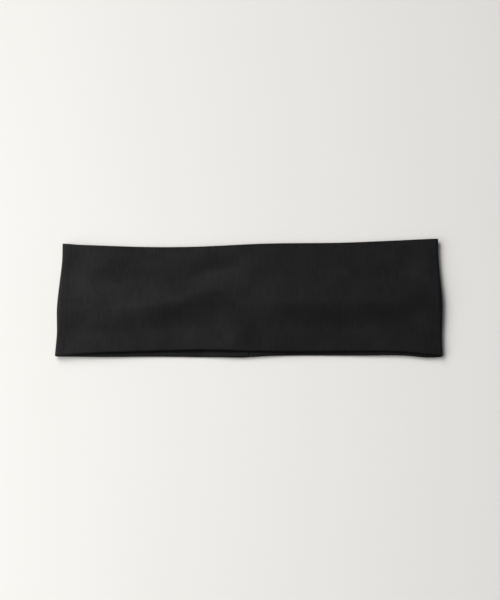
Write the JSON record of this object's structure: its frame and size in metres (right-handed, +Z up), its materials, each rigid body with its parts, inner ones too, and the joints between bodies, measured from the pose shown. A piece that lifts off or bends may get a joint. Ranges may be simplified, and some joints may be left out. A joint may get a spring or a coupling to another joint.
{
  "type": "headband",
  "caption": "Wide stretch-jersey headband, a flattened fabric tube sewn into a loop, lying flat with front layer over back layer; the loop opens round.",
  "frame": {"origin": "middle of the flat band, on the surface it lies on", "axes": "+X along the band to its right side fold, +Y to its upper edge, +Z up from the back layer to the front layer"},
  "size_m": [0.235, 0.075, 0.0046],
  "materials": {
    "jersey": "matt stretch jersey, fine vertical knit",
    "thread": "spun polyester sewing thread"
  },
  "bodies": {
    "back_centre": {"back_centre_left_jersey": "jersey", "back_centre_left_overlock_thread": "thread", "back_centre_left_needle_thread": "thread", "back_centre_right_jersey": "jersey", "back_centre_right_overlock_thread": "thread", "back_centre_right_needle_thread": "thread", "join_outer_overlock_thread": "thread", "join_outer_needle_thread": "thread", "join_inner_overlock_thread": "thread", "join_inner_needle_thread": "thread", "join_closing_stitch": "thread"},
    "back_left": {"back_left_jersey": "jersey", "back_left_overlock_thread": "thread", "back_left_needle_thread": "thread", "left_fold_jersey": "jersey", "left_fold_overlock_thread": "thread", "left_fold_needle_thread": "thread"},
    "front_left": {"front_left_jersey": "jersey", "front_left_overlock_thread": "thread", "front_left_needle_thread": "thread"},
    "front_centre_left": {"front_centre_left_jersey": "jersey", "front_centre_left_overlock_thread": "thread", "front_centre_left_needle_thread": "thread"},
    "back_right": {"back_right_jersey": "jersey", "back_right_overlock_thread": "thread", "back_right_needle_thread": "thread", "right_fold_jersey": "jersey", "right_fold_overlock_thread": "thread", "right_fold_needle_thread": "thread"},
    "front_right": {"front_right_jersey": "jersey", "front_right_overlock_thread": "thread", "front_right_needle_thread": "thread"},
    "front_centre_right": {"front_centre_right_jersey": "jersey", "front_centre_right_overlock_thread": "thread", "front_centre_right_needle_thread": "thread"}
  },
  "joints": [
    {"name": "loop_open", "type": "hinge", "parent": "back_centre", "child": "back_left", "pos_m": [-0.0384, 0, 0.00215], "axis": [0, 1, 0], "range_deg": [0, 60]},
    {"name": "left_side_fold", "type": "hinge", "parent": "back_left", "child": "front_left", "pos_m": [-0.1152, 0, 0.0023], "axis": [0, -1, 0], "range_deg": [0, 120], "deforming": ["left_fold_jersey", "left_fold_overlock_thread", "left_fold_needle_thread"]},
    {"name": "front_left_bend", "type": "hinge", "parent": "front_left", "child": "front_centre_left", "pos_m": [-0.0384, 0, 0.00245], "axis": [0, 1, 0], "range_deg": [0, 60]},
    {"name": "back_right_bend", "type": "hinge", "parent": "back_centre", "child": "back_right", "pos_m": [0.0384, 0, 0.00215], "axis": [0, -1, 0], "range_deg": [0, 60]},
    {"name": "right_side_fold", "type": "hinge", "parent": "back_right", "child": "front_right", "pos_m": [0.1152, 0, 0.0023], "axis": [0, 1, 0], "range_deg": [0, 120], "deforming": ["right_fold_jersey", "right_fold_overlock_thread", "right_fold_needle_thread"]},
    {"name": "front_right_bend", "type": "hinge", "parent": "front_right", "child": "front_centre_right", "pos_m": [0.0384, 0, 0.00245], "axis": [0, -1, 0], "range_deg": [0, 60]}
  ],
  "couplings": [
    {"joint": "left_side_fold", "follows": "loop_open", "ratio": 2},
    {"joint": "front_left_bend", "follows": "loop_open", "ratio": 1},
    {"joint": "back_right_bend", "follows": "loop_open", "ratio": 1},
    {"joint": "right_side_fold", "follows": "loop_open", "ratio": 2},
    {"joint": "front_right_bend", "follows": "loop_open", "ratio": 1}
  ]
}
